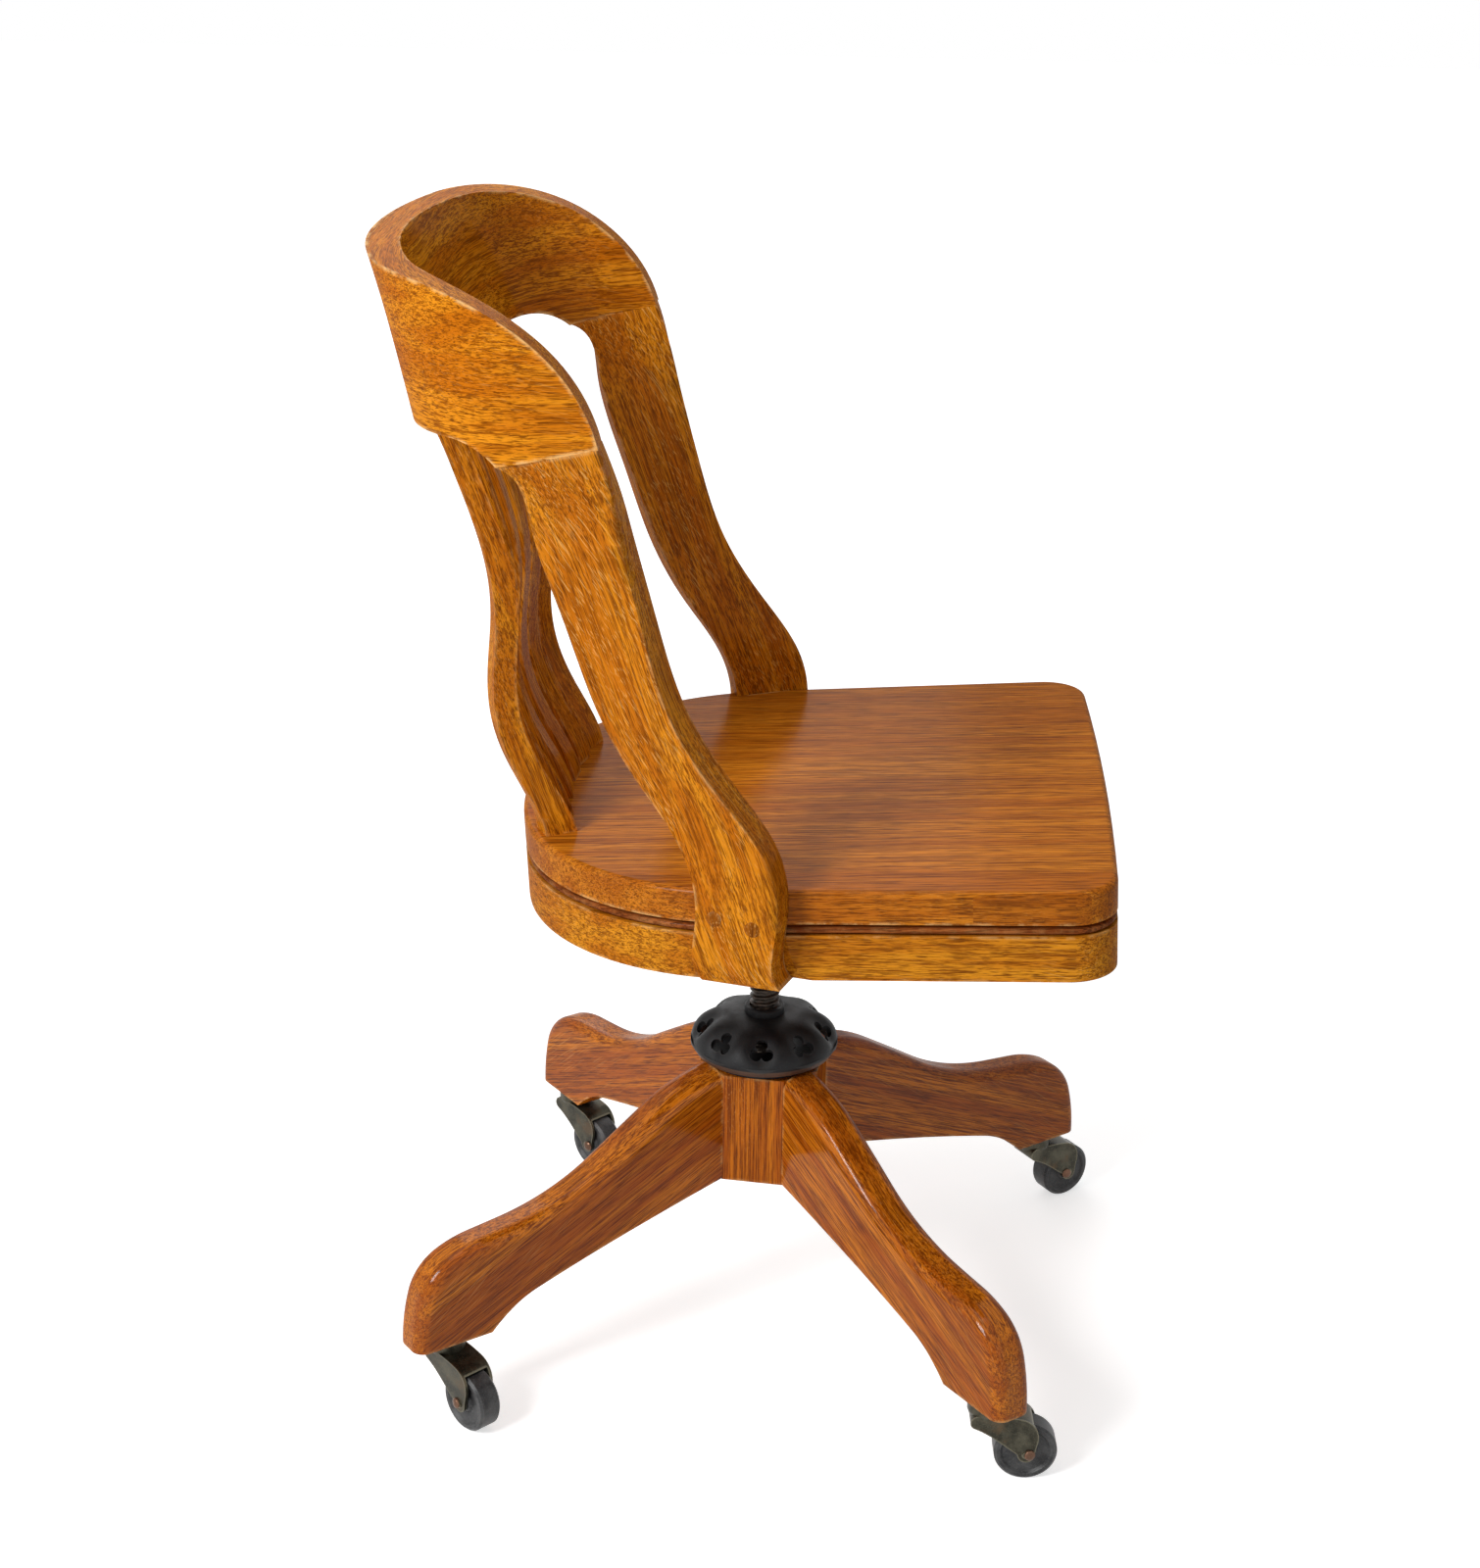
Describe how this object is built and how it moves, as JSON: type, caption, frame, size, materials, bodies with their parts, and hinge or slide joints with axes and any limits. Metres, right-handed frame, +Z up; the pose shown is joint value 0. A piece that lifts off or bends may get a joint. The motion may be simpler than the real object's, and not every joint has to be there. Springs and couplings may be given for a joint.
{
  "type": "bankers swivel chair",
  "caption": "Wooden swivel chair with a horseshoe crest, slatted back, flat seat, screw height wheel and a legged base on casters.",
  "frame": {"origin": "on the floor under the axis of the height screw", "axes": "+Z up; -Y the way a sitter faces; +X to the sitter's left"},
  "size_m": [0.5678, 0.6138, 0.9462],
  "materials": {
    "oak_seat": "satin",
    "oak_back": "satin",
    "oak_base": "gloss",
    "cast_iron": "satin",
    "screw_steel": "satin",
    "caster_metal": "satin",
    "caster_tread": "gloss"
  },
  "bodies": {
    "base": {"hub_post": "oak_base", "leg_dowels": "oak_base", "bearing_plate": "cast_iron", "leg_rear_left": "oak_base", "leg_rear_right": "oak_base", "leg_front_right": "oak_base", "leg_front_left": "oak_base", "caster_socket_rear_left": "caster_metal", "caster_socket_rear_right": "caster_metal", "caster_socket_front_right": "caster_metal", "caster_socket_front_left": "caster_metal"},
    "wheel_nut": {"hand_wheel": "cast_iron"},
    "screw": {"screw_spindle": "screw_steel"},
    "seat": {"seat_iron": "cast_iron", "seat_board": "oak_seat", "bead_moulding": "oak_seat", "seat_apron": "oak_seat", "back_post_left": "oak_back", "back_post_right": "oak_back", "crest_rail": "oak_back", "slat_1": "oak_back", "slat_2": "oak_back", "slat_3": "oak_back", "slat_4": "oak_back", "slat_5": "oak_back", "slat_6": "oak_back"},
    "swivel_rear_left": {"caster_fork_rear_left": "caster_metal", "caster_axle_rear_left": "caster_metal"},
    "roller_rear_left": {"caster_wheel_rear_left": "caster_tread"},
    "swivel_rear_right": {"caster_fork_rear_right": "caster_metal", "caster_axle_rear_right": "caster_metal"},
    "roller_rear_right": {"caster_wheel_rear_right": "caster_tread"},
    "swivel_front_right": {"caster_fork_front_right": "caster_metal", "caster_axle_front_right": "caster_metal"},
    "roller_front_right": {"caster_wheel_front_right": "caster_tread"},
    "swivel_front_left": {"caster_fork_front_left": "caster_metal", "caster_axle_front_left": "caster_metal"},
    "roller_front_left": {"caster_wheel_front_left": "caster_tread"}
  },
  "joints": [
    {"name": "swivel", "type": "hinge", "parent": "base", "child": "wheel_nut", "pos_m": [0, 0, 0.247], "axis": [0, 0, 1], "continuous": true},
    {"name": "seat_height", "type": "slide", "parent": "wheel_nut", "child": "screw", "axis": [0, 0, 1], "range_m": [-0.0762, 0.0508]},
    {"name": "seat_turn", "type": "hinge", "parent": "screw", "child": "seat", "pos_m": [0, 0, 0.44], "axis": [0, 0, 1], "range_deg": [-4320, 2880]},
    {"name": "caster_turn_rear_left", "type": "hinge", "parent": "base", "child": "swivel_rear_left", "pos_m": [0.24911, 0.19115, 0.07], "axis": [0, 0, 1], "continuous": true},
    {"name": "caster_roll_rear_left", "type": "hinge", "parent": "swivel_rear_left", "child": "roller_rear_left", "pos_m": [0.22661, 0.16784, 0.0254], "axis": [0.7193, -0.6947, 0], "continuous": true},
    {"name": "caster_turn_rear_right", "type": "hinge", "parent": "base", "child": "swivel_rear_right", "pos_m": [-0.19115, 0.24911, 0.07], "axis": [0, 0, 1], "continuous": true},
    {"name": "caster_roll_rear_right", "type": "hinge", "parent": "swivel_rear_right", "child": "roller_rear_right", "pos_m": [-0.21366, 0.22581, 0.0254], "axis": [0.7193, -0.6947, 0], "continuous": true},
    {"name": "caster_turn_front_right", "type": "hinge", "parent": "base", "child": "swivel_front_right", "pos_m": [-0.24911, -0.19115, 0.07], "axis": [0, 0, 1], "continuous": true},
    {"name": "caster_roll_front_right", "type": "hinge", "parent": "swivel_front_right", "child": "roller_front_right", "pos_m": [-0.24725, -0.2235, 0.0254], "axis": [0.9983, 0.0576, 0], "continuous": true},
    {"name": "caster_turn_front_left", "type": "hinge", "parent": "base", "child": "swivel_front_left", "pos_m": [0.19115, -0.24911, 0.07], "axis": [0, 0, 1], "continuous": true},
    {"name": "caster_roll_front_left", "type": "hinge", "parent": "swivel_front_left", "child": "roller_front_left", "pos_m": [0.20955, -0.27578, 0.0254], "axis": [0.8231, 0.5678, 0], "continuous": true}
  ],
  "couplings": [
    {"joint": "seat_height", "follows": "seat_turn", "m_per_rad": 0.0010106}
  ]
}
